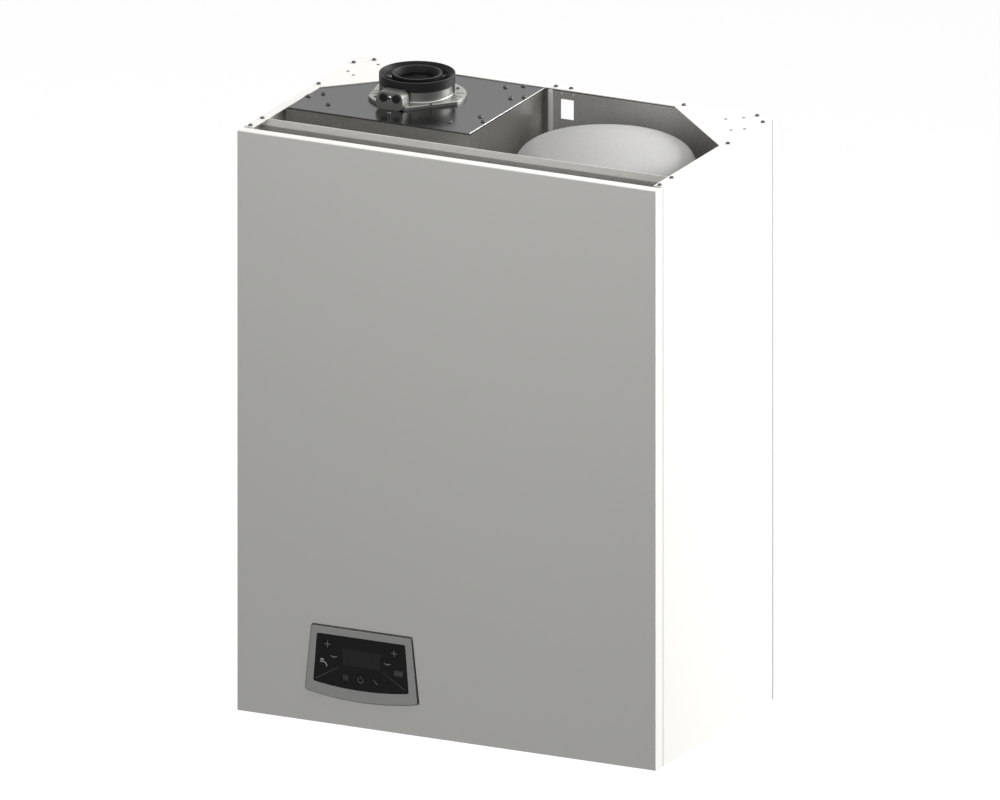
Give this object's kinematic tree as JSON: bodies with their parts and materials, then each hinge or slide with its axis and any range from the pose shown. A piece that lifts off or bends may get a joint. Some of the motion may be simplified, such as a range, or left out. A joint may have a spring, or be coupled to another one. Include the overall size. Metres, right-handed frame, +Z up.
{
  "type": "combi boiler with storage tank",
  "caption": "Wall-hung combi boiler: white sheet-steel casing with pull-off front cover, open top, concentric flue adapter, foam-clad hot water tank and keyed control panel.",
  "frame": {"origin": "on the wall plane, mid width, level with the casing's bottom edge", "axes": "+X to the right as seen from the front, +Y into the wall, +Z up"},
  "size_m": [0.69, 0.4125, 0.981],
  "materials": {
    "white_paint": "satin powder coat",
    "galvanised": "zinc-coated, satin",
    "zinc_screws": "dark bright zinc",
    "cast_aluminium": "fine cast",
    "black_rubber": "matte",
    "black_plastic": "matte",
    "stainless": "brushed",
    "ceramic": "glazed",
    "copper_pipe": "drawn copper",
    "brass": "machined",
    "white_foam": "moulded foam, matte",
    "cast_iron": "painted cast",
    "pump_paint": "satin",
    "vessel_paint": "satin",
    "red_plastic": "moulded",
    "grey_plastic": "moulded",
    "circuit_board": "solder mask",
    "silver_plastic": "satin metallic",
    "black_gloss": "gloss",
    "display_glass": "smoked window"
  },
  "bodies": {
    "boiler": {"rear_frame": "white_paint", "rear_wall": "galvanised", "left_side_panel": "white_paint", "right_side_panel": "white_paint", "front_top_rail": "white_paint", "front_bottom_rail": "white_paint", "bottom_plate": "white_paint", "cable_gland": "black_plastic", "casing_screws": "zinc_screws", "chamber_box": "galvanised", "chamber_door": "galvanised", "flue_adapter": "cast_aluminium", "flue_ring_gasket": "black_rubber", "flue_inner_tube": "cast_aluminium", "inner_gasket": "black_rubber", "exchanger_shell": "stainless", "exchanger_coil": "stainless", "burner_door": "cast_aluminium", "burner": "stainless", "electrodes": "ceramic", "gas_air_duct": "cast_aluminium", "fan_housing": "cast_aluminium", "fan_motor": "black_plastic", "gas_valve": "cast_aluminium", "gas_pipes": "copper_pipe", "tank_insulation": "white_foam", "storage_tank": "stainless", "tank_flange": "stainless", "tank_shelf": "galvanised", "tank_pipes": "copper_pipe", "hydraulic_blocks": "brass", "plate_exchanger": "stainless", "copper_tails": "copper_pipe", "heating_pipes": "copper_pipe", "diverter_body": "brass", "diverter_actuator": "black_plastic", "pump_body": "cast_iron", "pump_motor": "pump_paint", "safety_valve": "brass", "expansion_vessel": "vessel_paint", "condensate_trap": "grey_plastic", "control_box": "grey_plastic", "control_board": "circuit_board", "control_bezel": "silver_plastic", "control_fascia": "black_gloss", "display": "display_glass"},
    "cover": {"front_cover": "white_paint"},
    "fan_wheel": {"fan_impeller": "black_plastic"},
    "pump_wheel": {"pump_rotor": "stainless"},
    "spindle": {"diverter_spindle": "stainless"},
    "relief_knob": {"safety_knob": "red_plastic"},
    "plug_left": {"test_plug_left": "black_rubber"},
    "plug_right": {"test_plug_right": "black_rubber"},
    "key_water_plus": {"key_water_plus": "black_gloss"},
    "key_water_minus": {"key_water_minus": "black_gloss"},
    "key_heat_plus": {"key_heat_plus": "black_gloss"},
    "key_heat_minus": {"key_heat_minus": "black_gloss"},
    "key_book": {"key_book": "black_gloss"},
    "key_power": {"key_power": "black_gloss"},
    "key_spanner": {"key_spanner": "black_gloss"}
  },
  "joints": [
    {"name": "cover_pull", "type": "slide", "parent": "boiler", "child": "cover", "axis": [0, -1, 0], "range_m": [0, 0.35]},
    {"name": "fan_spin", "type": "hinge", "parent": "boiler", "child": "fan_wheel", "pos_m": [-0.182, -0.23, 0.48], "axis": [0, 1, 0], "continuous": true},
    {"name": "pump_spin", "type": "hinge", "parent": "boiler", "child": "pump_wheel", "pos_m": [0.132, -0.15, 0.15], "axis": [0, 1, 0], "continuous": true},
    {"name": "spindle_lift", "type": "slide", "parent": "boiler", "child": "spindle", "axis": [0, 0, 1], "range_m": [0, 0.006]},
    {"name": "knob_turn", "type": "hinge", "parent": "boiler", "child": "relief_knob", "pos_m": [0.175, -0.207, 0.084], "axis": [0, -1, 0], "range_deg": [0, 90]},
    {"name": "plug_left_pull", "type": "slide", "parent": "boiler", "child": "plug_left", "axis": [0, -1, 0], "range_m": [0, 0.03]},
    {"name": "plug_right_pull", "type": "slide", "parent": "boiler", "child": "plug_right", "axis": [0, -1, 0], "range_m": [0, 0.03]},
    {"name": "key_water_plus_press", "type": "slide", "parent": "boiler", "child": "key_water_plus", "axis": [0, 1, 0], "range_m": [0, 0.001], "stiffness_N_per_m": 300},
    {"name": "key_water_minus_press", "type": "slide", "parent": "boiler", "child": "key_water_minus", "axis": [0, 1, 0], "range_m": [0, 0.001], "stiffness_N_per_m": 300},
    {"name": "key_heat_plus_press", "type": "slide", "parent": "boiler", "child": "key_heat_plus", "axis": [0, 1, 0], "range_m": [0, 0.001], "stiffness_N_per_m": 300},
    {"name": "key_heat_minus_press", "type": "slide", "parent": "boiler", "child": "key_heat_minus", "axis": [0, 1, 0], "range_m": [0, 0.001], "stiffness_N_per_m": 300},
    {"name": "key_book_press", "type": "slide", "parent": "boiler", "child": "key_book", "axis": [0, 1, 0], "range_m": [0, 0.001], "stiffness_N_per_m": 300},
    {"name": "key_power_press", "type": "slide", "parent": "boiler", "child": "key_power", "axis": [0, 1, 0], "range_m": [0, 0.001], "stiffness_N_per_m": 300},
    {"name": "key_spanner_press", "type": "slide", "parent": "boiler", "child": "key_spanner", "axis": [0, 1, 0], "range_m": [0, 0.001], "stiffness_N_per_m": 300}
  ]
}
